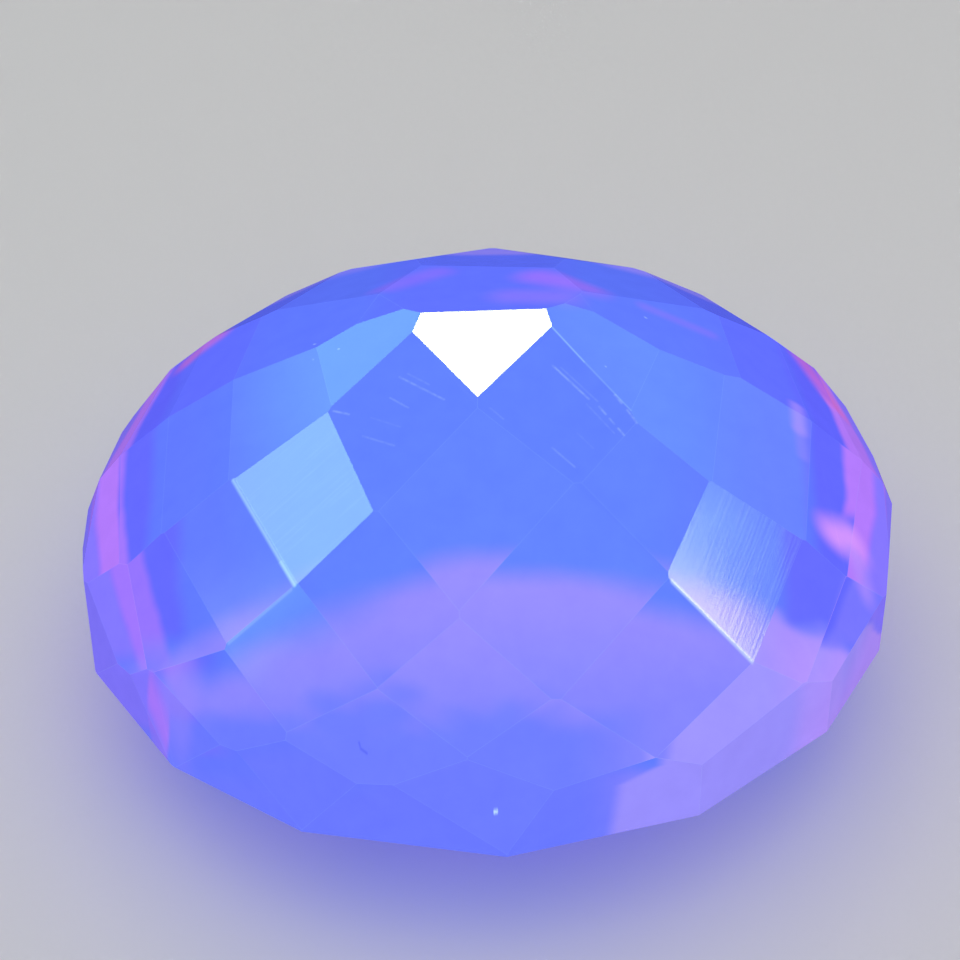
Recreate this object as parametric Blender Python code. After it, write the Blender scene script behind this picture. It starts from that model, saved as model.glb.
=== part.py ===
"""Pink opal: a loose round stone with a chequerboard-cut domed crown.

The stone is one solid. It is ground from a round block the way a cutter does it: one flat cut
for each facet. The crown's facets lie in tiers that fan out from the front of the stone and,
mirrored, from its back, so the two fans meet in a ridge across the middle. Below the girdle a
shallow underside ends in a broad flat, on which the stone rests.

Bearings are degrees round the stone from its front (-Y), positive towards +X. Tilts are degrees
between a facet and the level. The base's centre is the origin, and lengths are in metres.
"""

import math

import bmesh
import bpy
from mathutils import Matrix, Vector

STONE_NAME = "opal"

# Girdle: the stone's widest outline, a polygon whose corners wander a little, as cut by hand.
GIRDLE_RADIUS = 0.00612
GIRDLE_CORNER_BEARINGS = (-93, -67, -45, -24, 2, 27, 50, 68, 89, 112, 137, 157, 183, 206, 228, 249)

# Crown: facets touch a flattened dome that stands a little off the girdle's centre.
DOME_RADIUS = 0.00614
DOME_HEIGHT = 0.00405
DOME_CENTRE = (0.00009, 0.00006, 0.0)
FRONT_FAN_BEARING = -3.5
BACK_FAN_BEARING = -2.0
FAN_REACH = 86.0
FAN_SPREAD = 0.0017

# One entry for each crown tier, from the top down: the tilt at the fan's middle, the bearing
# between neighbouring facets, and how far outside (+) or inside (-) the dome it is cut.
CROWN_TIERS = (
    (11.5, 71.0, 0.00004),
    (17.3, 47.8, -0.00009),
    (24.7, 37.7, -0.00014),
    (32.0, 31.0, -0.00013),
    (40.8, 26.1, -0.00007),
    (55.1, 23.9, 0.00003),
    (79.4, 21.0, 0.00003),
)
STEEP_TIER = len(CROWN_TIERS) - 1

# Facets that the cutter left off the rule, by (tier, places right of the fan's middle):
# the extra tilt, bearing and depth.
FRONT_SLIPS = {
    (0, -1.0): (-0.1, 0.6, -0.00002),
    (0, 0.0): (0.2, -0.8, 0.00004),
    (0, 1.0): (-0.2, -0.1, -0.00002),
    (1, -0.5): (0.7, 0.4, 0.00002),
    (1, 0.5): (0.0, -0.9, 0.00003),
    (2, -1.0): (0.6, -1.8, 0.00002),
    (2, 0.0): (-0.6, 2.4, -0.00003),
    (2, 1.0): (0.5, -2.0, 0.00002),
    (2, 2.0): (-1.4, -0.7, -0.00002),
    (3, -1.5): (0.7, 1.1, 0.00001),
    (3, 0.5): (-1.1, 1.8, -0.00007),
    (3, 1.5): (2.2, 0.4, -0.00001),
    (4, -2.0): (0.2, 2.9, 0.00001),
    (4, 1.0): (0.3, 2.5, -0.00006),
    (6, 0.0): (-0.3, 0.3, -0.00005),
    (6, 1.0): (-0.5, 1.3, 0.00008),
}
BACK_SLIPS = {
    (0, -1.0): (0.4, 1.0, 0.00003),
    (0, 0.0): (5.0, 4.7, -0.00008),
    (0, 1.0): (-0.4, -2.6, 0.00008),
    (1, -0.5): (1.4, -1.5, 0.00010),
    (1, 0.5): (2.1, 2.2, 0.00014),
}

# Underside: a tier below every girdle side, a flatter tier of fewer facets, and the flat base.
UNDERSIDE_DEPTH = 0.0019
UPPER_UNDERSIDE_TILT = 41.0
LOWER_UNDERSIDE_TILT = 27.0
LOWER_UNDERSIDE_RADIUS = 0.0049
LOWER_UNDERSIDE_FACETS = 8
LOWER_UNDERSIDE_BEARING = 14.0
# How far below the girdle the upper tier has reached at the lower tier's radius.
LOWER_SHOULDER_DROP = (GIRDLE_RADIUS - LOWER_UNDERSIDE_RADIUS) * math.tan(math.radians(UPPER_UNDERSIDE_TILT))

# Rough block that the cuts are made in, larger than the finished stone, and the distance
# within which a corner counts as lying on a cut.
ROUGH_RADIUS = 0.0070
ROUGH_HEIGHT = 0.0120
ROUGH_SIDES = 32
ON_CUT = 1e-7
SHORTEST_EDGE = 1e-6

BODY_COLOUR = (0.114, 0.171, 0.93, 1.0)
BODY_ROUGHNESS = 0.08
BODY_METALLIC = 0.0


def clear_scene():
    """Remove every object that the file opened with."""
    for thing in list(bpy.data.objects):
        bpy.data.objects.remove(thing, do_unlink=True)


def make_collection(name):
    """Return a new collection in the scene."""
    collection = bpy.data.collections.new(name)
    bpy.context.scene.collection.children.link(collection)
    return collection


def opal_material():
    """Return the stone's own material: a polished blue-violet body."""
    material = bpy.data.materials.new("opal body")
    material.use_nodes = True
    shader = material.node_tree.nodes["Principled BSDF"]
    shader.inputs["Base Color"].default_value = BODY_COLOUR
    shader.inputs["Roughness"].default_value = BODY_ROUGHNESS
    shader.inputs["Metallic"].default_value = BODY_METALLIC
    return material


def facet_normal(tilt, bearing):
    """Return the outward direction of a facet; a tilt above 90 faces downwards."""
    steep = math.radians(tilt)
    turn = math.radians(bearing)
    return Vector((math.sin(steep) * math.sin(turn), -math.sin(steep) * math.cos(turn), math.cos(steep)))


def grind(stone, tilt, bearing, distance):
    """Cut everything off the stone beyond one plane, and close the cut with a single facet."""
    normal = facet_normal(tilt, bearing)
    parts = stone.verts[:] + stone.edges[:] + stone.faces[:]
    cut = bmesh.ops.bisect_plane(
        stone, geom=parts, dist=ON_CUT, plane_co=normal * distance, plane_no=normal, clear_outer=True
    )
    rim = [part for part in cut["geom_cut"] if isinstance(part, bmesh.types.BMEdge)]
    if rim:
        bmesh.ops.contextual_create(stone, geom=rim)


def rough_block():
    """Return the round block, centred on the girdle's level."""
    stone = bmesh.new()
    bmesh.ops.create_cone(
        stone,
        cap_ends=True,
        segments=ROUGH_SIDES,
        radius1=ROUGH_RADIUS,
        radius2=ROUGH_RADIUS,
        depth=ROUGH_HEIGHT,
    )
    return stone


def girdle_sides():
    """Return each girdle side as its middle bearing and its distance from the axis."""
    corners = list(GIRDLE_CORNER_BEARINGS)
    sides = []
    for here, there in zip(corners, corners[1:] + [corners[0] + 360]):
        distance = GIRDLE_RADIUS * math.cos(math.radians(there - here) / 2)
        sides.append(((here + there) / 2, distance))
    return sides


def dome_distance(tilt, bearing):
    """Return how far from the girdle's centre the plane lies that touches the dome here."""
    steep = math.radians(tilt)
    reach = math.hypot(DOME_RADIUS * math.sin(steep), DOME_HEIGHT * math.cos(steep))
    return reach + facet_normal(tilt, bearing).dot(Vector(DOME_CENTRE))


def fan_places(tier, step):
    """Return a tier's places; odd tiers sit half a place between their neighbours."""
    offset = 0.5 if tier % 2 else 0.0
    reach = int(FAN_REACH / step - offset)
    right = [place + offset for place in range(reach + 1)]
    left = [-place for place in right if place > 0]
    return sorted(left + right)


def grind_girdle(stone):
    """Cut the upright sides of the girdle."""
    for bearing, distance in girdle_sides():
        grind(stone, 90.0, bearing, distance)


def grind_crown(stone):
    """Cut the fan of facets at the front and its mirror image at the back."""
    fans = ((FRONT_FAN_BEARING, 1.0, FRONT_SLIPS), (180.0 + BACK_FAN_BEARING, -1.0, BACK_SLIPS))
    for fan_bearing, right, slips in fans:
        for tier, (middle_tilt, step, depth) in enumerate(CROWN_TIERS):
            for place in fan_places(tier, step):
                turn = place * step
                spread = 0.0 if tier == STEEP_TIER else FAN_SPREAD * turn**2
                more_tilt, more_turn, more_depth = slips.get((tier, place), (0.0, 0.0, 0.0))
                tilt = middle_tilt + spread + more_tilt
                bearing = fan_bearing + right * turn + more_turn
                grind(stone, tilt, bearing, dome_distance(tilt, bearing) + depth + more_depth)


def grind_underside(stone):
    """Cut the two tiers below the girdle, then the flat base."""
    for bearing, radius in girdle_sides():
        distance = radius * math.sin(math.radians(UPPER_UNDERSIDE_TILT))
        grind(stone, 180.0 - UPPER_UNDERSIDE_TILT, bearing, distance)
    lower_distance = LOWER_UNDERSIDE_RADIUS * math.sin(math.radians(LOWER_UNDERSIDE_TILT))
    lower_distance += LOWER_SHOULDER_DROP * math.cos(math.radians(LOWER_UNDERSIDE_TILT))
    for place in range(LOWER_UNDERSIDE_FACETS):
        bearing = LOWER_UNDERSIDE_BEARING + place * 360 / LOWER_UNDERSIDE_FACETS
        grind(stone, 180.0 - LOWER_UNDERSIDE_TILT, bearing, lower_distance)
    grind(stone, 180.0, 0.0, UNDERSIDE_DEPTH)


def make_opal(collection):
    """Cut the whole stone, stand its flat base on the ground plane, and give it its material."""
    stone = rough_block()
    grind_girdle(stone)
    grind_crown(stone)
    grind_underside(stone)
    bmesh.ops.remove_doubles(stone, verts=stone.verts[:], dist=SHORTEST_EDGE)
    bmesh.ops.recalc_face_normals(stone, faces=stone.faces[:])
    stone.transform(Matrix.Translation((0.0, 0.0, UNDERSIDE_DEPTH)))
    mesh = bpy.data.meshes.new(STONE_NAME)
    stone.to_mesh(mesh)
    stone.free()
    mesh.materials.append(opal_material())
    opal = bpy.data.objects.new(STONE_NAME, mesh)
    collection.objects.link(opal)
    return opal


clear_scene()
make_opal(make_collection("pink opal"))
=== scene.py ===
"""Pink opal: the look of a loose, chequerboard-cut stone on a pale studio floor.

The stone's flat facets come from the frame. This script gives them narrow worn edges and a milky
body with a painted glow: its colour is a painted image of light inside the stone, and it emits
that colour though it is no lamp. A line of sight from the fixed viewing point bends where it
enters a facet, so each facet shows its own shifted image of the painted glow: blue in the middle,
lilac towards the viewer, pale lilac at the lower right, and violet and pink at the sides. The blue
is the body's colour; the rest paints internal reflections and light that passes through.
"""

import math
from collections import namedtuple

import bmesh
import bpy
from bpy.props import FloatProperty, FloatVectorProperty, PointerProperty
from mathutils import Matrix, Vector


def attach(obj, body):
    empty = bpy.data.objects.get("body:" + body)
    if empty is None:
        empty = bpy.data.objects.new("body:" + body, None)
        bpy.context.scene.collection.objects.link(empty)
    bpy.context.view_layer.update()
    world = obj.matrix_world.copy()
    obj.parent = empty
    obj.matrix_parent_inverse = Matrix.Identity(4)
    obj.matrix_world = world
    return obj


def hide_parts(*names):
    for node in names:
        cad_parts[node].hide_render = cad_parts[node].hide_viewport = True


bl_info = {
    "name": "Pink opal",
    "version": (1, 0, 0),
    "blender": (4, 5, 0),
    "location": "3D View > Sidebar > Opal",
    "description": "Builds a faceted opal with a milky blue and lilac glow, and its studio",
    "category": "Object",
}

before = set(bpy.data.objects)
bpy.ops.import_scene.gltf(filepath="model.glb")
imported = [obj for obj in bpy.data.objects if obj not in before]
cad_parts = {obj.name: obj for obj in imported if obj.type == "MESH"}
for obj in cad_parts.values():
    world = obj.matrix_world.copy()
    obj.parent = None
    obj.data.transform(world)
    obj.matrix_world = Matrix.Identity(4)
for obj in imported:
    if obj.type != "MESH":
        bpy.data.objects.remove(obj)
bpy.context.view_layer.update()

MM = 0.001
GIRDLE_HEIGHT = 1.9 * MM
OPAL_IOR = 1.45

# The photo's viewing point, from the girdle's centre, and how the camera is turned from there.
VIEW_ELEVATION = math.radians(39.736)
VIEW_DISTANCE = 32.911 * MM
VIEW_PAN = math.radians(-0.062)
VIEW_TILT = math.radians(2.055)
VIEW_ROLL = math.radians(-1.249)
VIEWPOINT = Vector(
    (
        0.0,
        -VIEW_DISTANCE * math.cos(VIEW_ELEVATION),
        VIEW_DISTANCE * math.sin(VIEW_ELEVATION) + GIRDLE_HEIGHT,
    )
)
FOCAL_PIXELS = 2152.3
FRAME_PIXELS = 960
SENSOR_MM = 36.0
NEAREST_SEEN, FARTHEST_SEEN = 1.0 * MM, 10.0

# How the nodes of a tree are laid out, and the Mix node's sockets for its factor and colours.
NODES_IN_COLUMN, COLUMN_WIDTH, ROW_HEIGHT = 6, 180, 170
MIX_INPUTS, MIX_OUTPUT = (0, 6, 7), 2


class NodeTree:
    """Adds and links the nodes of one shader tree, laid out in columns."""

    def __init__(self, tree):
        self.tree = tree
        self.count = 0

    def node(self, kind, **settings):
        """Add a node and set its properties."""
        column, row = divmod(self.count, NODES_IN_COLUMN)
        self.count += 1
        made = self.tree.nodes.new(kind)
        made.location = (COLUMN_WIDTH * column, -ROW_HEIGHT * row)
        for name, value in settings.items():
            setattr(made, name, value)
        return made

    def feed(self, socket, value):
        """Link a socket to an output, or set it to a plain value."""
        if isinstance(value, bpy.types.NodeSocket):
            self.tree.links.new(value, socket)
        else:
            socket.default_value = value

    def math(self, operation, *values, clamp=False):
        """Return the result of a Math node."""
        made = self.node("ShaderNodeMath", operation=operation, use_clamp=clamp)
        for socket, value in zip(made.inputs, values):
            self.feed(socket, value)
        return made.outputs[0]

    def plus(self, first, second):
        """Return a sum."""
        return self.math("ADD", first, second)

    def minus(self, first, second):
        """Return a difference."""
        return self.math("SUBTRACT", first, second)

    def times(self, first, *others):
        """Return a product of two or more values."""
        for other in others:
            first = self.math("MULTIPLY", first, other)
        return first

    def linear(self, value, factor, start):
        """Return a start plus a factor times the value."""
        return self.math("MULTIPLY_ADD", value, factor, start)

    def inverse(self, mask, share=1.0):
        """Return 1 less a share of a mask."""
        return self.linear(mask, -share, 1.0)

    def larger(self, first, second):
        """Return the larger of two values."""
        return self.math("MAXIMUM", first, second)

    def apart(self, value, centre):
        """Return how far a value is from a centre, on either side."""
        return self.math("ABSOLUTE", self.minus(value, centre))

    def vector(self, operation, *values, scale=None):
        """Return the result of a Vector Math node."""
        made = self.node("ShaderNodeVectorMath", operation=operation)
        for socket, value in zip(made.inputs, values):
            self.feed(socket, value)
        if scale is not None:
            self.feed(made.inputs["Scale"], scale)
        number = operation in {"DOT_PRODUCT", "LENGTH", "DISTANCE"}
        return made.outputs["Value" if number else "Vector"]

    def ramp(self, value, low, high, full=1.0):
        """Return 0 up to low and full from high on, with a smooth rise between them."""
        made = self.node("ShaderNodeMapRange", interpolation_type="SMOOTHSTEP")
        values = {"Value": value, "From Min": low, "From Max": high, "To Max": full}
        for name, given in values.items():
            self.feed(made.inputs[name], given)
        return made.outputs["Result"]

    def mix(self, share, first, second, blend="MIX"):
        """Return a mix of two colours."""
        made = self.node("ShaderNodeMix", data_type="RGBA", blend_type=blend)
        for index, value in zip(MIX_INPUTS, (share, first, second)):
            self.feed(made.inputs[index], value)
        return made.outputs[MIX_OUTPUT]

    def shaded(self, colour, factor):
        """Return a colour times a number."""
        return self.mix(1.0, colour, self.join(factor, factor, factor), blend="MULTIPLY")

    def split(self, vector):
        """Return the three parts of a vector."""
        made = self.node("ShaderNodeSeparateXYZ")
        self.feed(made.inputs[0], vector)
        return made.outputs[:]

    def join(self, x, y, z):
        """Return a vector of three parts."""
        made = self.node("ShaderNodeCombineXYZ")
        for socket, value in zip(made.inputs, (x, y, z)):
            self.feed(socket, value)
        return made.outputs[0]

    def noise(self, vector, scale, detail=2.0, roughness=0.5):
        """Return the value of a Noise Texture, from 0 to 1."""
        made = self.node("ShaderNodeTexNoise")
        values = {"Vector": vector, "Scale": scale, "Detail": detail, "Roughness": roughness}
        for name, given in values.items():
            self.feed(made.inputs[name], given)
        return made.outputs[0]

    def group(self, tree, **inputs):
        """Place a node group, feed its inputs, named in lower case, and return its outputs."""
        made = self.node("ShaderNodeGroup", node_tree=tree)
        for name, value in inputs.items():
            self.feed(made.inputs[name.capitalize()], value)
        return made.outputs

    def object_place(self):
        """Return the place on the object, in metres."""
        return self.node("ShaderNodeTexCoord").outputs["Object"]

    def place_in_mm(self):
        """Return the place on the object, in millimetres."""
        return self.vector("SCALE", self.object_place(), scale=1.0 / MM)

    def facing(self):
        """Return the facet's own flat normal."""
        return self.node("ShaderNodeNewGeometry").outputs["True Normal"]


def new_group(name, inputs, outputs):
    """Return an empty node group's tree and the sockets of its input and output nodes."""
    tree = bpy.data.node_groups.new(name, "ShaderNodeTree")
    for side, sockets in (("INPUT", inputs), ("OUTPUT", outputs)):
        for label, kind in sockets:
            tree.interface.new_socket(label, in_out=side, socket_type="NodeSocket" + kind)
    nodes = NodeTree(tree)
    given = nodes.node("NodeGroupInput").outputs
    wanted = nodes.node("NodeGroupOutput").inputs
    return nodes, given, wanted


# A facet counts as underside when its normal points down by more than this. The least fall keeps
# the slope of a line that is almost level within bounds.
UNDERSIDE_NORMAL = -0.01
LEAST_FALL = 0.2


def bent_sight_group():
    """How the line of sight goes on inside the stone, in millimetres.

    The line runs from the viewing point to the surface and bends by Snell's law at the facet's own
    flat normal. It leaves the group as the surface point and as the sideways step that the line
    takes for each millimetre that it falls. The far half of the crown and the underside are mirror
    images of the near half of the crown, so there the same lines come from behind or below.
    """
    nodes, given, wanted = new_group(
        "bent sight",
        [],
        [("Point", "Vector"), ("Slope", "Vector"), ("Upright", "Float"), ("Behind", "Float")],
    )
    x, y, z = nodes.split(nodes.object_place())
    facing_x, facing_y, facing_z = nodes.split(nodes.facing())
    behind = nodes.math("GREATER_THAN", facing_y, 0.0)
    under = nodes.math("LESS_THAN", facing_z, UNDERSIDE_NORMAL)
    # These two are 1 on the near half and the crown, and -1 on the far half and the underside.
    forward = nodes.linear(behind, -2.0, 1.0)
    upward = nodes.linear(under, -2.0, 1.0)
    height = nodes.linear(z, upward, nodes.times(under, 2.0 * GIRDLE_HEIGHT))
    upright = nodes.times(facing_z, upward)
    point = nodes.join(x, nodes.times(y, forward), height)
    normal = nodes.join(facing_x, nodes.times(facing_y, forward), upright)
    sight = nodes.vector("NORMALIZE", nodes.vector("SUBTRACT", point, VIEWPOINT))
    inward_x, inward_y, inward_z = nodes.split(
        nodes.vector("REFRACT", sight, normal, scale=1.0 / OPAL_IOR)
    )
    fall = nodes.larger(nodes.times(inward_z, -1.0), LEAST_FALL)
    slope = nodes.join(
        nodes.math("DIVIDE", inward_x, fall), nodes.math("DIVIDE", inward_y, fall), -1.0
    )
    nodes.feed(wanted["Point"], nodes.vector("SCALE", point, scale=1.0 / MM))
    nodes.feed(wanted["Slope"], slope)
    nodes.feed(wanted["Upright"], upright)
    nodes.feed(wanted["Behind"], behind)
    return nodes.tree


def level_group():
    """Where the bent line of sight meets a level plane: the point plus its slope times the fall."""
    nodes, given, wanted = new_group(
        "meets level",
        [("Point", "Vector"), ("Slope", "Vector"), ("Level", "Float")],
        [("Place", "Vector")],
    )
    fall = nodes.minus(nodes.split(given["Point"])[2], given["Level"])
    step = nodes.join(fall, fall, fall)
    place = nodes.vector("MULTIPLY_ADD", given["Slope"], step, given["Point"])
    nodes.feed(wanted["Place"], place)
    return nodes.tree


def oval_group():
    """1 inside an oval and 0 outside it, with a soft edge.

    The distance is the length of ((x - centre x) / width, (y - centre y) / height), moved a
    little by the drift; it is 1 on the oval. The mask falls off between 1 - fade and 1 + fade.
    """
    nodes, given, wanted = new_group(
        "soft oval",
        [
            ("Place", "Vector"),
            ("Centre", "Vector"),
            ("Reach", "Vector"),
            ("Fade", "Float"),
            ("Drift", "Float"),
        ],
        [("Mask", "Float")],
    )
    offset = nodes.vector("SUBTRACT", given["Place"], given["Centre"])
    x, y, _ = nodes.split(nodes.vector("DIVIDE", offset, given["Reach"]))
    distance = nodes.plus(given["Drift"], nodes.vector("LENGTH", nodes.join(x, y, 0.0)))
    edge = nodes.minus(1.0, given["Fade"]), nodes.plus(1.0, given["Fade"])
    nodes.feed(wanted["Mask"], nodes.minus(1.0, nodes.ramp(distance, *edge)))
    return nodes.tree


# What a point of the surface sees inside: the places where its bent line meets the planes of the
# disc, the base and the upper glow, its own distance sideways from the middle, how upright its
# facet is, and how far the outlines of the glow drift and wander there.
Sight = namedtuple("Sight", "disc base upper surface upright drift wander")

# The heights of the three planes above the base, in millimetres.
DISC_LEVEL, BASE_LEVEL, UPPER_LEVEL = -1.1, 0.0, 1.4
# Noise that moves the outlines: its scale, its detail, and its reach in millimetres.
DRIFT = (0.8, 2.0, 0.3)
WANDER = (1.1, 1.0, 1.1)
# How many millimetres of distance the steepness of a facet stands for, and its start for facets
# that count as steep and for those that count as sheer.
STEEPNESS = 3.0
STEEP_START, SHEER_START = 2.0, 1.4


def steepness(nodes, upright, start):
    """How steep a facet is: a start less 3 times how upright its normal is, never below 0."""
    return nodes.larger(nodes.linear(upright, -STEEPNESS, start), 0.0)


# An oval of the glow: centre, half width and half depth in millimetres, fade and share.
Oval = namedtuple("Oval", "centre reach fade share")
LILAC_DISC = Oval((0.25, -3.7), (5.47, 5.47), 0.07, 1.0)
DISC_NOTCH = Oval((-2.1, 1.75), (1.0, 0.9), 0.5, 0.6)
DEEP_SPUR = Oval((-1.5, -2.4), (0.7, 0.6), 0.5, 0.5)


def oval_mask(nodes, tree, place, oval, drift):
    """A share of the mask of one soft oval."""
    centre, reach = (*oval.centre, 0.0), (*oval.reach, 1.0)
    mask = nodes.group(tree, place=place, centre=centre, reach=reach, fade=oval.fade, drift=drift)
    return nodes.times(mask["Mask"], oval.share)


# Where the disc turns a deeper blue, from north to south, and by what share at most.
DISC_FADE = (1.6, -0.9, 0.45)
# The share of the drift that moves the disc's own outline.
DISC_DRIFT = 0.2


def disc_masks(nodes, tree, sight):
    """The lilac disc, less a notch at its back, and how far it turns a deeper blue in front."""
    disc = oval_mask(nodes, tree, sight.disc, LILAC_DISC, nodes.times(sight.drift, DISC_DRIFT))
    notch = oval_mask(nodes, tree, sight.disc, DISC_NOTCH, sight.drift)
    faded = nodes.ramp(nodes.split(sight.disc)[1], *DISC_FADE)
    return nodes.times(disc, nodes.inverse(notch)), faded


# The deep patch: how near to the viewer it begins and is full, the step that holds it back at the
# left, and where it begins to end at the right and is gone.
DEEP_NEAR = (2.65, 3.45)
DEEP_LEFT = (-1.6, -2.9, 0.3)
DEEP_RIGHT = (0.9, 2.4)


def deep_mask(nodes, tree, sight):
    """The deeper blue patch low in front.

    It lies where a line ends near the viewer: the wander less the place's north, plus the
    steepness of the facet and a spur at the left, less a step further left.
    """
    east, north, _ = nodes.split(sight.upper)
    steep = steepness(nodes, sight.upright, STEEP_START)
    near = nodes.plus(nodes.minus(sight.wander, north), steep)
    near = nodes.plus(near, oval_mask(nodes, tree, sight.upper, DEEP_SPUR, 0.0))
    near = nodes.minus(near, nodes.ramp(east, *DEEP_LEFT))
    return nodes.times(nodes.ramp(near, *DEEP_NEAR), nodes.inverse(nodes.ramp(east, *DEEP_RIGHT)))


# The pale area: how near to the viewer and how far to the right it begins and is full, and the
# uprightness of the facets at which it begins to show and does so fully.
PALE_NEAR = (0.65, 1.1)
PALE_EAST = (2.1, 2.35)
PALE_UPRIGHT = (0.73, 0.69)
# How its upper edge slants to the right of a middle, and its left edge with steepness and north.
PALE_MIDDLE, PALE_SLANT = 2.0, -0.35
LEAST_STEEP, STEEP_SLANT = 0.4, 0.35
NORTH_START, NORTH_MOST, NORTH_SLANT = 3.3, 0.55, -0.7
# The rosy edge: the least uprightness that counts, the one that shifts nothing, the shift of the
# edge for each further unit, and how far to the right it begins, is full, and how rosy it gets.
LEAST_UPRIGHT, ROSY_UPRIGHT, ROSY_LEAN = 0.5, 0.54, 4.0
ROSY_EAST = (3.4, 4.6, 0.8)


def pale_masks(nodes, sight):
    """The pale area at the lower right, and how rosy it is at its right edge.

    It lies where a line ends near the viewer, the wander less the place's north plus the
    steepness less a slant, and far enough to the right, the place's east plus two slants.
    """
    east, north, _ = nodes.split(sight.upper)
    sheer = steepness(nodes, sight.upright, SHEER_START)
    near = nodes.plus(nodes.minus(sight.wander, north), sheer)
    near = nodes.linear(nodes.minus(east, PALE_MIDDLE), PALE_SLANT, near)
    steep = nodes.larger(steepness(nodes, sight.upright, STEEP_START), LEAST_STEEP)
    back = nodes.math("MINIMUM", nodes.larger(nodes.plus(north, NORTH_START), 0.0), NORTH_MOST)
    right = nodes.linear(steep, STEEP_SLANT, east)
    right = nodes.linear(nodes.times(sheer, back), NORTH_SLANT, right)
    pale = nodes.times(
        nodes.ramp(near, *PALE_NEAR),
        nodes.ramp(right, *PALE_EAST),
        nodes.ramp(sight.upright, *PALE_UPRIGHT),
    )
    lean = nodes.minus(nodes.larger(sight.upright, LEAST_UPRIGHT), ROSY_UPRIGHT)
    return pale, nodes.ramp(nodes.linear(lean, ROSY_LEAN, east), *ROSY_EAST)


# How far out a line ends: the uprightness that adds nothing, and the share of the drift.
OUTLOOK_UPRIGHT, OUTLOOK_DRIFT = 0.66, 0.6
# The violet band: where it begins and is full, by outlook, by the surface and by the base's north.
VIOLET_OUTLOOK, VIOLET_SURFACE, VIOLET_NORTH = (3.15, 3.5), (3.2, 4.1), (-0.5, 0.0)
# The pink band: the same by outlook and surface, and where it ends again, and by what share.
PINK_OUTLOOK, PINK_SURFACE = (3.67, 3.86), (3.7, 4.4)
PINK_END, PINK_LOSS = (4.26, 4.5), 0.8
# How it leans: the base's north at which it isn't moved, the furthest north that counts, how much
# it moves for each millimetre at the left, and how much more at the right.
LEAN_NORTH, LEAN_LIMIT, LEAN_LEFT, LEAN_MORE = 0.8, 1.9, 0.18, 0.07
# The middle tier of facets, by uprightness: its width, the inset of its pink and its loss.
MIDDLE_TIER, MIDDLE_WIDTH, MIDDLE_INSET, MIDDLE_LOSS = 0.7, (0.04, 0.02), -0.08, 0.25
# The tier whose pink goes on to the south, by uprightness.
LONG_TIER, LONG_WIDTH = 0.63, (0.06, 0.03)
# The base's north where the pink of the other tiers begins and is full: at the left, and how much
# further north at the right.
BEGIN_LEFT, BEGIN_MORE = -1.6, 2.9
FULL_LEFT, FULL_MORE = 0.1, 1.6
# The strength of the pink at the left, what the long tier and the right add, and what pale takes.
PINK_LEFT, PINK_MORE, PINK_UNDER_PALE = 0.68, 0.32, 0.9


def side_masks(nodes, sight, pale):
    """The violet band, the pink band, and the violet band where the pink one has ended.

    They follow how far out a line ends: its distance sideways on the base, plus 3 times what the
    facet's uprightness lacks of 0.66, plus a share of the drift. The pink band also leans, so it
    lies further out in the north than in the south. It is weaker on the middle tier of facets, and
    only on the long tier does it go on to the south.
    """
    east, north, _ = nodes.split(sight.base)
    aside = nodes.math("ABSOLUTE", east)
    right_half = nodes.math("GREATER_THAN", east, 0.0)
    outlook = nodes.linear(nodes.minus(OUTLOOK_UPRIGHT, sight.upright), STEEPNESS, aside)
    outlook = nodes.linear(sight.drift, OUTLOOK_DRIFT, outlook)
    violet = nodes.times(
        nodes.ramp(outlook, *VIOLET_OUTLOOK),
        nodes.ramp(sight.surface, *VIOLET_SURFACE),
        nodes.ramp(north, *VIOLET_NORTH),
        nodes.inverse(pale),
    )
    nearer = nodes.minus(LEAN_NORTH, nodes.math("MINIMUM", north, LEAN_LIMIT))
    lean = nodes.linear(right_half, LEAN_MORE, LEAN_LEFT)
    leaning = nodes.linear(nearer, lean, outlook)
    end = nodes.ramp(leaning, *PINK_END)
    middle = nodes.ramp(nodes.apart(sight.upright, MIDDLE_TIER), *MIDDLE_WIDTH)
    long = nodes.ramp(nodes.apart(sight.upright, LONG_TIER), *LONG_WIDTH)
    begin = nodes.linear(right_half, BEGIN_MORE, BEGIN_LEFT)
    full = nodes.linear(right_half, FULL_MORE, FULL_LEFT)
    pink = nodes.times(
        nodes.ramp(nodes.linear(middle, MIDDLE_INSET, leaning), *PINK_OUTLOOK),
        nodes.ramp(sight.surface, *PINK_SURFACE),
        nodes.inverse(middle, MIDDLE_LOSS),
        nodes.inverse(end, PINK_LOSS),
        nodes.larger(nodes.ramp(north, begin, full), long),
        nodes.linear(nodes.larger(long, right_half), PINK_MORE, PINK_LEFT),
        nodes.inverse(pale, PINK_UNDER_PALE),
    )
    return violet, pink, nodes.times(end, violet)


# Where the blue field turns violet towards the sides, and by what share at most.
FIELD_TURN = (1.8, 3.5, 0.28)
# The crest of the far half: by uprightness, by the surface's distance sideways, and its share.
CREST_UPRIGHT, CREST_SURFACE, CREST_SHARE = (0.97, 0.8), (2.4, 0.8, 0.9), 0.58
# How much of what lies under them the other layers cover at most.
DEEP_SHARE, VIOLET_SHARE, END_SHARE, PINK_SHARE = 0.9, 0.9, 0.4, 0.85
GLOW_COLOURS = ("Blue", "Lilac", "Deep", "Violet", "Pink", "Pale", "Rose")


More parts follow.
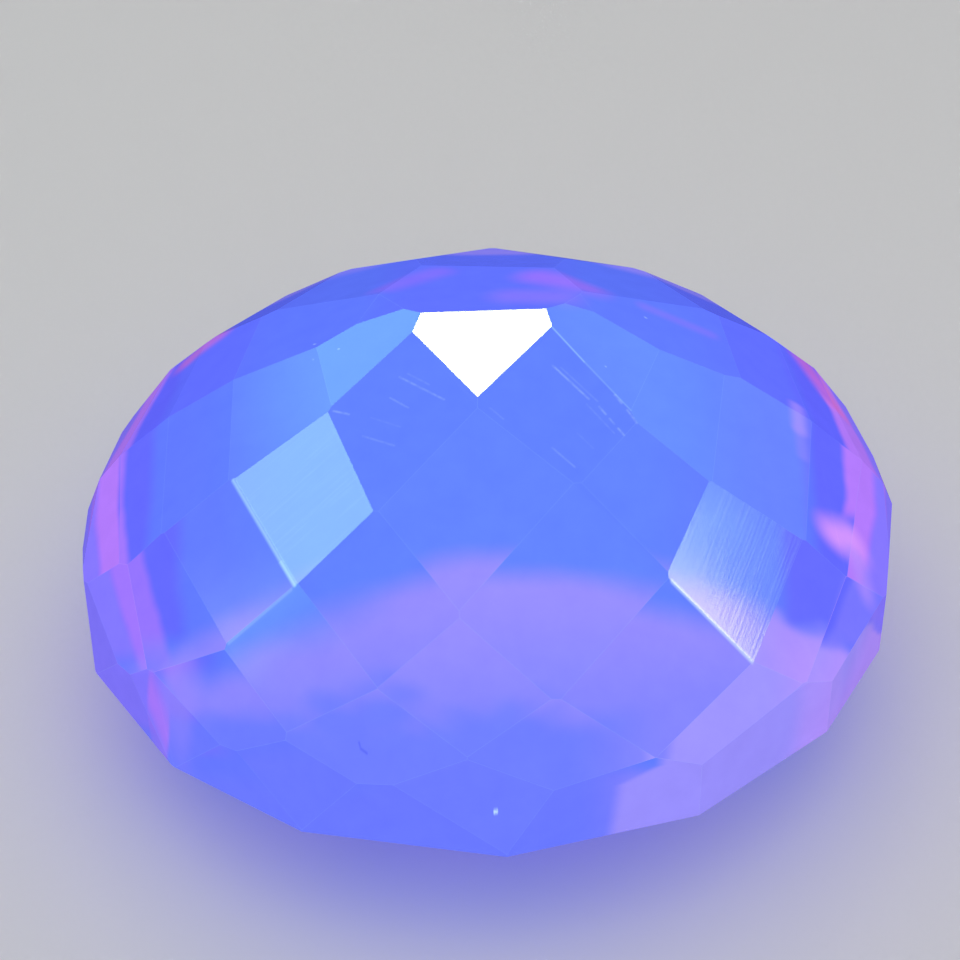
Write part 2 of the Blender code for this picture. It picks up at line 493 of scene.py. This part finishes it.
def painted_glow_group():
    """The glow inside, laid in layers, each over the ones before it.

    The layers are a blue field that turns violet towards the sides, the violet crest of the far
    half, the lilac disc, the deep patch, the pale area with its rosy edge, the violet band with
    its lilac end, and the pink band. The blue is the body's colour; the rest is a painted image
    of light inside the stone: internal reflections and light that passes through it.
    """
    nodes, given, wanted = new_group(
        "painted milky glow",
        [("Point", "Vector"), ("Slope", "Vector"), ("Upright", "Float"), ("Behind", "Float")]
        + [(colour, "Color") for colour in GLOW_COLOURS],
        [("Color", "Color")],
    )
    level, oval = level_group(), oval_group()

    def meets(height):
        return nodes.group(level, point=given["Point"], slope=given["Slope"], level=height)["Place"]

    def moved(place, scale, detail, reach):
        return nodes.times(nodes.minus(nodes.noise(place, scale, detail), 0.5), reach)

    disc, base, upper = meets(DISC_LEVEL), meets(BASE_LEVEL), meets(UPPER_LEVEL)
    surface = nodes.math("ABSOLUTE", nodes.split(given["Point"])[0])
    drift, wander = moved(base, *DRIFT), moved(upper, *WANDER)
    sight = Sight(disc, base, upper, surface, given["Upright"], drift, wander)

    field = nodes.ramp(nodes.math("ABSOLUTE", nodes.split(base)[0]), *FIELD_TURN)
    ridge = nodes.ramp(surface, *CREST_SURFACE)
    crest = nodes.larger(nodes.ramp(given["Upright"], *CREST_UPRIGHT), ridge)
    crest = nodes.times(given["Behind"], crest, CREST_SHARE)
    lilac, faded = disc_masks(nodes, oval, sight)
    deep = nodes.times(deep_mask(nodes, oval, sight), DEEP_SHARE)
    pale, rosy = pale_masks(nodes, sight)
    violet, pink, end = side_masks(nodes, sight, pale)

    colour = nodes.mix(field, given["Blue"], given["Violet"])
    colour = nodes.mix(crest, colour, given["Violet"])
    colour = nodes.mix(lilac, colour, nodes.mix(faded, given["Lilac"], given["Deep"]))
    colour = nodes.mix(deep, colour, given["Deep"])
    colour = nodes.mix(pale, colour, nodes.mix(rosy, given["Pale"], given["Rose"]))
    colour = nodes.mix(nodes.times(violet, VIOLET_SHARE), colour, given["Violet"])
    colour = nodes.mix(nodes.times(end, END_SHARE), colour, given["Lilac"])
    colour = nodes.mix(nodes.times(pink, PINK_SHARE), colour, given["Pink"])
    nodes.feed(wanted["Color"], colour)
    return nodes.tree


def streak_group():
    """A set strength on a line between two points, seen from above, and 0 away from the line.

    The distance is that to the nearest point of the line: the start plus the run times the share
    of the run, held between 0 and 1. The share is the dot product of the offset with the pull,
    which is the run over its own square. The strength falls off from the inner to the outer
    distance, and the group puts out the larger of it and what came before.
    """
    nodes, given, wanted = new_group(
        "streak",
        [
            ("Place", "Vector"),
            ("Start", "Vector"),
            ("Run", "Vector"),
            ("Pull", "Vector"),
            ("Inner", "Float"),
            ("Outer", "Float"),
            ("Strength", "Float"),
            ("Before", "Float"),
        ],
        [("Mask", "Float")],
    )
    offset = nodes.vector("SUBTRACT", given["Place"], given["Start"])
    pulled = nodes.vector("DOT_PRODUCT", offset, given["Pull"])
    share = nodes.math("ADD", pulled, 0.0, clamp=True)
    nearest = nodes.vector("SCALE", given["Run"], scale=share)
    distance = nodes.vector("DISTANCE", offset, nearest)
    mask = nodes.ramp(distance, given["Outer"], given["Inner"], given["Strength"])
    nodes.feed(wanted["Mask"], nodes.larger(mask, given["Before"]))
    return nodes.tree


# The bearing of the polishing lines on a facet that faces neither left nor right.
LAY_BEARING = 0.93
# How fine the lines are across and along, per millimetre, and how far apart the noise of facets
# that face other ways is read.
LINES_ACROSS, LINES_ALONG = 26.0, 0.8
EAST_JUMP, NORTH_JUMP = 40.0, 23.0
LINE_DETAIL, LINE_ROUGHNESS = 3.0, 0.6
# The two facets with coarser lines, by the way that they face, and how coarse they are.
COARSE_FACET, COARSE_MATCH = (0.42, -0.45, 0.79), (0.992, 0.997)
MILD_FACET, MILD_MATCH = (-0.32, -0.34, 0.89), (0.992, 0.998, 0.6)
# How coarse the lines are everywhere else, and the noise at which the haze begins and is full:
# the haze is polish marks with a painted sheen.
FINE_LINES, HAZE_AND_SHEEN_LINES = 0.2, (0.5, 0.8)


def polish_group():
    """The fine lines that polishing left: their height and, on two coarser facets, a pale haze.

    On each facet they run one way: at a bearing that depends on how far the facet turns sideways,
    laid into the facet. The height is noise, drawn out along the lines and narrow across them.
    """
    nodes, given, wanted = new_group("polish lines", [], [("Height", "Float"), ("Haze and sheen", "Float")])
    place = nodes.place_in_mm()
    facing = nodes.facing()
    east, north, _ = nodes.split(facing)
    bearing = nodes.plus(east, LAY_BEARING)
    level = nodes.join(nodes.math("COSINE", bearing), nodes.math("SINE", bearing), 0.0)
    rise = nodes.vector("DOT_PRODUCT", level, facing)
    raised = nodes.vector("MULTIPLY", facing, nodes.join(rise, rise, rise))
    lay = nodes.vector("NORMALIZE", nodes.vector("SUBTRACT", level, raised))
    across = nodes.vector("DOT_PRODUCT", place, nodes.vector("CROSS_PRODUCT", facing, lay))
    along = nodes.vector("DOT_PRODUCT", place, lay)
    jump = nodes.linear(east, EAST_JUMP, nodes.times(north, NORTH_JUMP))
    drawn_out = nodes.join(nodes.times(across, LINES_ACROSS), nodes.times(along, LINES_ALONG), jump)
    lines = nodes.noise(drawn_out, 1.0, LINE_DETAIL, LINE_ROUGHNESS)
    coarse, mild = [
        nodes.ramp(nodes.vector("DOT_PRODUCT", facing, facet), *match)
        for facet, match in ((COARSE_FACET, COARSE_MATCH), (MILD_FACET, MILD_MATCH))
    ]
    coarser = nodes.larger(coarse, mild)
    nodes.feed(wanted["Height"], nodes.times(lines, nodes.larger(coarser, FINE_LINES)))
    # The haze on the two coarser facets: polish marks with a painted sheen of the light they
    # reflect.
    nodes.feed(wanted["Haze and sheen"], nodes.times(nodes.ramp(lines, *HAZE_AND_SHEEN_LINES), coarser))
    return nodes.tree


# Painted glows near the surface, standing in for light reflected inside the stone, and painted
# highlights on edges, as seen from above: start, end and half width in millimetres, strength and
# colour.
PAINTED_GLOWS_AND_HIGHLIGHTS = (
    ((-1.35, 1.5), (-0.6, 2.2), 0.22, 0.5, (0.27, 0.15, 0.95, 1.0)),
    ((0.9, 1.78), (1.55, 1.3), 0.3, 0.55, (0.4, 0.16, 0.95, 1.0)),
    ((0.5, 0.85), (1.15, 0.75), 0.3, 0.4, (0.33, 0.19, 0.95, 1.0)),
    ((2.45, 1.25), (3.4, 1.15), 0.12, 0.3, (0.3, 0.17, 0.95, 1.0)),
    ((4.6, 0.1), (4.57, -0.45), 0.1, 0.6, (0.38, 0.26, 0.95, 1.0)),
    ((4.57, -0.45), (4.56, -0.95), 0.08, 0.3, (0.3, 0.22, 0.95, 1.0)),
    ((4.92, -2.07), (5.16, -1.93), 0.23, 0.9, (0.64, 0.29, 0.95, 1.0)),
    ((5.25, -2.2), (5.28, -2.55), 0.14, 0.6, (0.42, 0.26, 0.95, 1.0)),
    # Two painted highlights on facet edges that catch the light.
    ((2.47, -3.77), (3.49, -4.37), 0.026, 0.5, (0.64, 0.8, 1.0, 1.0)),
    ((-2.55, -3.73), (-3.4, -4.05), 0.02, 0.4, (0.3, 0.42, 1.0, 1.0)),
    # Painted glows at the outline and low down.
    ((4.4, -4.2), (4.86, -3.86), 0.24, 0.45, (0.45, 0.286, 0.95, 1.0)),
    ((5.02, 2.25), (5.42, 1.3), 0.19, 0.5, (0.76, 0.15, 0.5, 1.0)),
    ((-4.5, 2.36), (-4.05, 2.52), 0.21, 0.48, (0.7, 0.14, 0.45, 1.0)),
    ((-4.18, -4.0), (-4.02, -4.22), 0.2, 0.55, (0.31, 0.25, 0.95, 1.0)),
    ((-4.58, -3.82), (-4.39, -4.14), 0.06, 0.6, (0.46, 0.18, 0.9, 1.0)),
)
# Scratches, chips and specks, as seen from above: start, end, half width, strength.
SCRATCHES = (
    ((-1.11, -0.9), (-0.5, -1.38), 0.0135, 0.16),
    ((-1.0, -0.86), (-0.7, -1.1), 0.012, 0.072),
    ((-1.24, -1.22), (-0.99, -1.43), 0.012, 0.128),
    ((-2.02, -1.3), (-1.81, -1.39), 0.015, 0.208),
    ((-1.61, -1.78), (-1.18, -2.01), 0.0135, 0.096),
    ((-1.5, -1.5), (-1.1, -1.72), 0.012, 0.048),
    ((1.01, -0.82), (1.48, -1.33), 0.015, 0.208),
    ((1.12, -0.84), (1.6, -1.36), 0.012, 0.08),
    ((1.62, -1.45), (1.7, -1.56), 0.015, 0.176),
    ((1.75, -1.63), (1.81, -1.71), 0.0135, 0.152),
    ((1.86, -1.78), (1.93, -1.88), 0.015, 0.2),
    ((1.45, -1.42), (1.8, -1.86), 0.012, 0.072),
    ((0.95, -2.16), (1.24, -2.44), 0.0135, 0.112),
    ((1.3, -1.9), (1.5, -2.12), 0.012, 0.056),
    ((0.13, -1.59), (0.3, -1.75), 0.012, 0.096),
    ((1.85, -1.24), (1.93, -1.36), 0.018, 0.2),
    ((2.0, -1.47), (2.12, -1.67), 0.015, 0.168),
    ((-2.37, 0.32), (-2.35, 0.3), 0.0138, 0.4),
    ((-2.0, -0.02), (-1.99, -0.03), 0.0138, 0.44),
    ((-2.37, -0.05), (-2.36, -0.07), 0.0115, 0.28),
    ((2.42, 0.88), (2.43, 0.87), 0.0184, 0.48),
    ((1.74, -0.7), (1.75, -0.71), 0.0115, 0.32),
    ((0.06, -5.98), (0.1, -5.98), 0.008, 1.0),
)
# The small curved nick low in front, in two runs.
NICK = (
    ((-1.66, -5.44), (-1.64, -5.49), 0.01, 0.35),
    ((-1.64, -5.49), (-1.56, -5.54), 0.011, 0.35),
)
# Painted highlights on facet edges that catch the light.
PAINTED_EDGE_HIGHLIGHTS = (
    ((-3.42, -1.88), (-2.5, -3.69), 0.022, 0.36),
    ((-2.7, -3.3), (-2.5, -3.69), 0.023, 0.5),
    ((1.02, -0.16), (1.45, -0.72), 0.012, 0.25),
    ((1.45, -0.72), (2.05, -1.47), 0.012, 0.12),
)
# The share of a mark's half width over which it fades, inwards and outwards.
SOFT_FADE, NICK_FADE, EDGE_FADE = 0.9, 0.7, 1.0
# Marks lie on the crown: below this height, in millimetres, the place moves away from all of them
# by this many millimetres for each one that it falls.
MARKS_ABOVE, MARKS_LOSS = 1.2, 5.0

NICK_COLOUR = (0.04, 0.06, 0.5, 1.0)
# The pale haze on the polishing lines of the two coarser facets: polish marks with a painted sheen.
HAZE_AND_SHEEN_COLOUR, HAZE_AND_SHEEN_SHARE = (0.7, 0.88, 1.0, 1.0), 0.045
# A painted highlight on the worn strips along every edge.
HIGHLIGHT_COLOUR, WORN_EDGE_HIGHLIGHT = (0.56, 1.0, 1.0, 1.0), 0.1

# The uneven tone: the noise's scale, detail and roughness, what it adds, how finely the ways that
# facets face are told apart, what a facet adds, and the tone that both add to.
MOTTLE, MOTTLE_SHARE = (2.6, 4.0, 0.6), 0.16
FACET_STEP, FACET_SHARE = (0.004, 0.004, 0.004), 0.05
LEAST_TONE = 0.895
# The breaks in scratches: the noise's scale and detail, where it lets a scratch through, and how
# much of the scratch is left elsewhere.
BREAKS, BREAK_RISE, LEFT_IN_BREAKS = (14.0, 2.0), (0.32, 0.62), 0.4

# The share of its colour with which the body answers light from outside.
BODY_SHARE = 0.78
# What the polishing lines and the scratches add to the roughness, and the lines' depth.
LINE_GLOSS, SCRATCH_GLOSS = 0.05, 0.3
LINE_DEPTH = 0.0008 * MM


def marked(nodes, streak, place, marks, fade):
    """Return one mask of several streaks: the strongest at each point."""
    total = 0.0
    for start, end, half, strength in marks:
        run = Vector((end[0] - start[0], end[1] - start[1], 0.0))
        total = nodes.group(
            streak,
            place=place,
            start=(*start, 0.0),
            run=run,
            pull=run / run.length_squared,
            inner=half * (1.0 - fade),
            outer=half * (1.0 + fade),
            strength=strength,
            before=total,
        )["Mask"]
    return total


def mark_place(nodes, spot):
    """The place by which marks are laid: the plan, with a height of 0 where marks may lie.

    The height is MARKS_LOSS times how far the spot is below MARKS_ABOVE, and never below 0.
    """
    x, y, height = nodes.split(spot)
    sunk = nodes.linear(height, -MARKS_LOSS, MARKS_LOSS * MARKS_ABOVE)
    return nodes.join(x, y, nodes.larger(sunk, 0.0))


def seen_painted_glow(nodes, look):
    """The colour of the glow inside, seen through each facet."""
    # The painted glow: an image of light inside the stone, as seen from the fixed viewing point.
    sight = nodes.group(bent_sight_group())
    return nodes.group(
        painted_glow_group(),
        point=sight["Point"],
        slope=sight["Slope"],
        upright=sight["Upright"],
        behind=sight["Behind"],
        **{name.lower(): getattr(look, name.lower()) for name in GLOW_COLOURS},
    )["Color"]


def uneven_tone(nodes, spot):
    """A factor near 1: the least tone, plus a share of noise and a share of each facet's chance."""
    chance = nodes.node("ShaderNodeTexWhiteNoise", noise_dimensions="3D")
    nodes.feed(chance.inputs["Vector"], nodes.vector("SNAP", nodes.facing(), FACET_STEP))
    tone = nodes.linear(nodes.noise(spot, *MOTTLE), MOTTLE_SHARE, LEAST_TONE)
    return nodes.linear(chance.outputs["Value"], FACET_SHARE, tone)


def opal_material(look):
    """The opal: a glossy body whose colour is the glow seen through each facet, with its marks.

    The painted glow comes first, and over it lie the painted small glows and edge highlights,
    the uneven tone, the scratches, the nick, the haze of the polishing lines with its painted
    sheen, and the painted highlights on worn edges. The body also emits the same colour, a
    painted glow though it is no lamp, and, a little darker, it is lit from outside.
    """
    material = bpy.data.materials.new("opal body")
    material.use_nodes = True
    material.cycles.emission_sampling = "NONE"
    nodes = NodeTree(material.node_tree)
    streak = streak_group()
    spot = nodes.place_in_mm()
    place = mark_place(nodes, spot)

    def marks(several, fade):
        return marked(nodes, streak, place, several, fade)

    colour = seen_painted_glow(nodes, look)
    # Painted glows and edge highlights, each laid over the colour.
    for *glow, tint in PAINTED_GLOWS_AND_HIGHLIGHTS:
        colour = nodes.mix(marks((glow,), SOFT_FADE), colour, tint)
    colour = nodes.shaded(colour, uneven_tone(nodes, spot))
    breaks = nodes.ramp(nodes.noise(spot, *BREAKS), *BREAK_RISE)
    breaks = nodes.linear(breaks, 1.0 - LEFT_IN_BREAKS, LEFT_IN_BREAKS)
    scratched = nodes.times(marks(SCRATCHES, SOFT_FADE), breaks)
    colour = nodes.mix(scratched, colour, look.scratch)
    colour = nodes.mix(marks(NICK, NICK_FADE), colour, NICK_COLOUR)
    finish = nodes.group(polish_group())
    # Polish haze with a painted sheen, laid over the colour.
    colour = nodes.mix(nodes.times(finish["Haze and sheen"], HAZE_AND_SHEEN_SHARE), colour, HAZE_AND_SHEEN_COLOUR)
    # Painted highlights: the worn strips and the bright edges are lightened in the colour.
    worn = nodes.node("ShaderNodeAttribute", attribute_name="wear").outputs["Fac"]
    edge_highlights = nodes.larger(nodes.times(worn, WORN_EDGE_HIGHLIGHT), marks(PAINTED_EDGE_HIGHLIGHTS, EDGE_FADE))
    colour = nodes.mix(edge_highlights, colour, HIGHLIGHT_COLOUR)

    roughness = nodes.linear(finish["Height"], LINE_GLOSS, look.polish)
    roughness = nodes.linear(scratched, SCRATCH_GLOSS, roughness)
    bump = nodes.node("ShaderNodeBump")
    bump.inputs["Distance"].default_value = LINE_DEPTH
    nodes.feed(bump.inputs["Height"], finish["Height"])
    shader = material.node_tree.nodes["Principled BSDF"]
    nodes.feed(shader.inputs["Base Color"], nodes.shaded(colour, BODY_SHARE))
    # The colour is also emitted: a painted glow, though the stone is no lamp.
    nodes.feed(shader.inputs["Emission Color"], colour)
    nodes.feed(shader.inputs["Roughness"], roughness)
    nodes.feed(shader.inputs["Normal"], bump.outputs[0])
    shader.inputs["Emission Strength"].default_value = look.painted_glow_strength
    shader.inputs["IOR"].default_value = OPAL_IOR
    return material


def colour_property(name, description, default):
    """A colour that a user may change."""
    return FloatVectorProperty(
        name=name, description=description, default=default, size=4, min=0, max=1, subtype="COLOR"
    )


class OpalLook(bpy.types.PropertyGroup):
    """The stone's finish."""

    edge_wear: FloatProperty(
        name="Edge wear",
        description="Width of the worn facet edges",
        default=0.01 * MM,
        subtype="DISTANCE",
    )
    # The colours of the painted glow: the blue is the body's colour, and the others paint light
    # inside the stone.
    blue: colour_property("Blue", "Body colour in the middle", (0.11, 0.2, 0.98, 1.0))
    lilac: colour_property("Lilac", "Glow nearest the viewer", (0.27, 0.237, 0.96, 1.0))
    deep: colour_property("Deep blue", "Bluer patch inside the glow", (0.135, 0.185, 0.98, 1.0))
    violet: colour_property("Violet", "Band inside the pink one", (0.12, 0.13, 0.98, 1.0))
    pink: colour_property("Pink", "Glow at the sides", (0.48, 0.2, 0.92, 1.0))
    pale: colour_property("Pale lilac", "Glow at the lower right", (0.31, 0.272, 0.95, 1.0))
    rose: colour_property("Rose", "Warmer edge of the pale glow", (0.43, 0.26, 0.95, 1.0))
    scratch: colour_property("Scratches", "Scratches and specks", (0.5, 0.72, 1.0, 1.0))
    polish: FloatProperty(
        name="Polish", description="Surface roughness", default=0.02, min=0, max=1
    )
    # How strongly the body emits its colour: a painted glow, though it is no lamp.
    painted_glow_strength: FloatProperty(
        name="Painted glow", description="Strength of the glow painted into the body", default=0.62, min=0
    )


class StudioLook(bpy.types.PropertyGroup):
    """The floor and the lights."""

    floor: colour_property("Floor", "Floor colour", (0.76, 0.76, 0.765, 1.0))
    fill: FloatProperty(
        name="Fill", description="Strength of the even light", default=0.52, min=0
    )
    top: FloatProperty(
        name="Top light", description="Strength of the overhead light", default=0.6, min=0
    )


# Corners closer than the first are one corner, and facets that meet at less than the second are
# one facet.
MERGE_DISTANCE = 0.0005 * MM
FLAT_ANGLE = math.radians(0.4)


def worn_facets(source, wear):
    """Return a mesh of the stone's flat facets with a narrow worn strip along every edge.

    Each edge is cut off flat, a set distance from it on both sides. The strips' faces have 1 in
    the attribute wear, and the facets have 0.
    """
    stone = bmesh.new()
    stone.from_mesh(source.data)
    worn = stone.faces.layers.float.new("wear")
    bmesh.ops.remove_doubles(stone, verts=stone.verts[:], dist=MERGE_DISTANCE)
    bmesh.ops.dissolve_limit(
        stone, angle_limit=FLAT_ANGLE, verts=stone.verts[:], edges=stone.edges[:]
    )
    strips = bmesh.ops.bevel(
        stone,
        geom=stone.edges[:],
        offset=wear,
        offset_type="OFFSET",
        segments=1,
        affect="EDGES",
        clamp_overlap=True,
    )
    for face in strips["faces"]:
        face[worn] = 1.0
    bmesh.ops.recalc_face_normals(stone, faces=stone.faces[:])
    mesh = bpy.data.meshes.new("opal stone")
    stone.to_mesh(mesh)
    stone.free()
    mesh.shade_flat()
    return mesh


class OPAL_OT_stone(bpy.types.Operator):
    """Build the stone from the frame's facets, with worn edges and the opal's finish"""

    bl_idname = "opal.stone"
    bl_label = "Build the stone"

    def execute(self, context):
        look = context.scene.opal_look
        mesh = worn_facets(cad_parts["opal"], look.edge_wear)
        mesh.materials.append(opal_material(look))
        stone = bpy.data.objects.new("opal_stone", mesh)
        context.scene.collection.objects.link(stone)
        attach(stone, "root")
        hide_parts("opal")
        return {"FINISHED"}


FLOOR_HALF = 1.0
FLOOR_ROUGHNESS = 0.7
TOP_LIGHT_TOWARDS = (0.0, -0.2, 1.0)
TOP_LIGHT_DISTANCE = 150 * MM
TOP_LIGHT_SIZE = 200 * MM
CARD_DISTANCE = 90 * MM

# A card, in millimetres: its direction from the stone, its place sideways and upwards from there,
# half its width and height and the width of its soft edge; then its strength, colour and turn.
# Three cards share the direction that the right bright facet reflects.
Card = namedtuple("Card", "name towards place half fade strength colour turn", defaults=(0.0,))
AT_RIGHT = (0.786, 0.05, 0.616)
CARDS = (
    Card("white card", (-0.021, 0.54, 0.841), (0.0, 3.3), (9.0, 7.5), 1.5, 32.0, (1.0, 1.0, 1.0)),
    Card("left card", (-0.579, 0.251, 0.775), (2.0, 3.0), (12.0, 12.0), 7.0, 7.3, (0.48, 1, 0.9)),
    Card("right card azure", AT_RIGHT, (-7.2, 2.95), (10.9, 8.5), 7.4, 6.3, (0.5, 1, 1), 0.38),
    Card("right card white", AT_RIGHT, (-10.0, 1.15), (5.8, 6.2), 2.8, 9.8, (1, 0.76, 1), -0.72),
    Card("right card edge", AT_RIGHT, (-3.7, 7.9), (6.0, 6.0), 2.5, 4.7, (0.9, 1, 1), 0.785),
    Card("back left card", (-0.44, 0.715, 0.543), (2.0, 2.0), (22.0, 16.0), 14.0, 3.0, (0.3, 1, 1)),
    Card("back right card", (0.53, 0.635, 0.56), (-3.0, 3.0), (22.0, 13.0), 12, 1, (0.35, 1, 1)),
    Card("far right card", (0.738, 0.565, 0.386), (0.0, 0.0), (16.0, 14.0), 9.0, 0.6, (0.6, 1, 1)),
    Card("side left card", (-0.793, 0.175, 0.584), (13.0, 1.0), (11.0, 9.0), 8.0, 2.2, (0.8, 1, 1)),
    Card("low left card", (-0.68, -0.309, 0.665), (-5.0, -1.0), (8.5, 8.0), 5.0, 3.0, (0.2, 1, 1)),
)


def flat_sheet(name, half_width, half_height, material):
    """Return a level rectangle about its own centre."""
    corners = [
        (x * half_width, y * half_height, 0.0) for x, y in ((-1, -1), (1, -1), (1, 1), (-1, 1))
    ]
    mesh = bpy.data.meshes.new(name)
    mesh.from_pydata(corners, [], [(0, 1, 2, 3)])
    mesh.materials.append(material)
    return bpy.data.objects.new(name, mesh)


def floor_material(colour):
    """A plain matt floor."""
    material = bpy.data.materials.new("studio floor")
    material.use_nodes = True
    shader = material.node_tree.nodes["Principled BSDF"]
    shader.inputs["Base Color"].default_value = colour
    shader.inputs["Roughness"].default_value = FLOOR_ROUGHNESS
    return material


def top_light(strength):
    """A square light that faces the stone from above.

    Its power is its radiance times pi times its area.
    """
    light = bpy.data.lights.new("top light", "AREA")
    light.shape = "SQUARE"
    light.size = TOP_LIGHT_SIZE
    light.energy = strength * math.pi * TOP_LIGHT_SIZE**2
    direction = Vector(TOP_LIGHT_TOWARDS).normalized()
    holder = bpy.data.objects.new("top light", light)
    holder.location = direction * TOP_LIGHT_DISTANCE + Vector((0.0, 0.0, GIRDLE_HEIGHT))
    holder.rotation_euler = direction.to_track_quat("Z", "Y").to_euler()
    holder.visible_glossy = False
    return holder


def card_material(card):
    """A glow that adds to what is behind it and fades along the card's edges.

    Its strength is the card's times, for each of its two directions, a smooth step over the fade
    of how far the point is inside the edge.
    """
    material = bpy.data.materials.new(card.name)
    material.use_nodes = True
    material.node_tree.nodes.clear()
    material.cycles.emission_sampling = "NONE"
    nodes = NodeTree(material.node_tree)
    place = nodes.split(nodes.object_place())
    across, upwards = [
        nodes.ramp(nodes.minus(half * MM, nodes.math("ABSOLUTE", part)), 0.0, card.fade * MM)
        for part, half in zip(place, card.half)
    ]
    glow = nodes.node("ShaderNodeEmission")
    glow.inputs["Color"].default_value = (*card.colour, 1.0)
    nodes.feed(glow.inputs["Strength"], nodes.times(across, upwards, card.strength))
    both = nodes.node("ShaderNodeAddShader")
    nodes.feed(both.inputs[0], glow.outputs[0])
    nodes.feed(both.inputs[1], nodes.node("ShaderNodeBsdfTransparent").outputs[0])
    nodes.feed(nodes.node("ShaderNodeOutputMaterial").inputs["Surface"], both.outputs[0])
    return material


def glowing_card(card):
    """A glowing card that only reflections show.

    It stands CARD_DISTANCE from the girdle's centre, square to its direction, moved sideways and
    upwards by its place and turned in its own plane.
    """
    ahead = Vector(card.towards).normalized()
    side = Vector((0.0, 0.0, 1.0)).cross(ahead).normalized()
    rise = ahead.cross(side)
    spot = ahead * CARD_DISTANCE + side * card.place[0] * MM + rise * card.place[1] * MM
    holder = flat_sheet(card.name, card.half[0] * MM, card.half[1] * MM, card_material(card))
    holder.matrix_world = (
        Matrix.Translation(spot + Vector((0.0, 0.0, GIRDLE_HEIGHT)))
        @ Matrix((side, rise, ahead)).transposed().to_4x4()
        @ Matrix.Rotation(card.turn, 4, "Z")
    )
    holder.visible_camera = False
    holder.visible_diffuse = False
    holder.visible_shadow = False
    holder.visible_transmission = False
    return holder


def turned(first, second, angle):
    """Return two square directions turned in their own plane, the first towards the second."""
    return (
        first * math.cos(angle) + second * math.sin(angle),
        second * math.cos(angle) - first * math.sin(angle),
    )


def photo_camera():
    """The photo's camera: at the viewing point, panned, tilted and rolled a little."""
    data = bpy.data.cameras.new("camera")
    data.sensor_width = SENSOR_MM
    data.lens = FOCAL_PIXELS / FRAME_PIXELS * SENSOR_MM
    data.clip_start = NEAREST_SEEN
    data.clip_end = FARTHEST_SEEN
    ahead = Vector((0.0, math.cos(VIEW_ELEVATION), -math.sin(VIEW_ELEVATION)))
    right = Vector((1.0, 0.0, 0.0))
    up = right.cross(ahead)
    ahead, right = turned(ahead, right, VIEW_PAN)
    ahead, up = turned(ahead, up, VIEW_TILT)
    right, up = turned(right, up, VIEW_ROLL)
    camera = bpy.data.objects.new("camera", data)
    turn = Matrix((right, up, -ahead)).transposed().to_4x4()
    camera.matrix_world = Matrix.Translation(VIEWPOINT) @ turn
    return camera


def even_light(strength):
    """A white world that lights the stone and the floor, and that reflections don't show."""
    world = bpy.data.worlds.new("studio")
    world.use_nodes = True
    back = world.node_tree.nodes["Background"]
    back.inputs["Color"].default_value = (1.0, 1.0, 1.0, 1.0)
    back.inputs["Strength"].default_value = strength
    world.cycles_visibility.glossy = False
    return world


class OPAL_OT_studio(bpy.types.Operator):
    """Build the pale floor, the soft lights and the camera"""

    bl_idname = "opal.studio"
    bl_label = "Build the studio"

    def execute(self, context):
        scene = context.scene
        look = scene.opal_studio
        floor = flat_sheet("floor", FLOOR_HALF, FLOOR_HALF, floor_material(look.floor))
        scene.collection.objects.link(floor)
        floor.visible_glossy = False
        scene.world = even_light(look.fill)
        scene.collection.objects.link(top_light(look.top))
        for card in map(glowing_card, CARDS):
            scene.collection.objects.link(card)
        scene.view_settings.view_transform = "Standard"
        camera = photo_camera()
        scene.collection.objects.link(camera)
        bpy.context.scene.camera = camera
        return {"FINISHED"}


class OPAL_PT_panel(bpy.types.Panel):
    """The opal's looks and builders"""

    bl_idname = "OPAL_PT_panel"
    bl_label = "Pink opal"
    bl_space_type = "VIEW_3D"
    bl_region_type = "UI"
    bl_category = "Opal"

    def draw(self, context):
        for look in (context.scene.opal_look, context.scene.opal_studio):
            for name in look.bl_rna.properties.keys():
                if name not in {"rna_type", "name"}:
                    self.layout.prop(look, name)
        self.layout.operator(OPAL_OT_stone.bl_idname)
        self.layout.operator(OPAL_OT_studio.bl_idname)


CLASSES = (OpalLook, StudioLook, OPAL_OT_stone, OPAL_OT_studio, OPAL_PT_panel)


def register():
    """Make the looks, the builders and the panel known to Blender."""
    for kind in CLASSES:
        bpy.utils.register_class(kind)
    bpy.types.Scene.opal_look = PointerProperty(type=OpalLook)
    bpy.types.Scene.opal_studio = PointerProperty(type=StudioLook)


def unregister():
    """Remove what register added."""
    del bpy.types.Scene.opal_studio
    del bpy.types.Scene.opal_look
    for kind in reversed(CLASSES):
        bpy.utils.unregister_class(kind)


def main():
    """Build everything."""
    register()
    bpy.ops.opal.stone()
    bpy.ops.opal.studio()


if __name__ == "__main__":
    main()
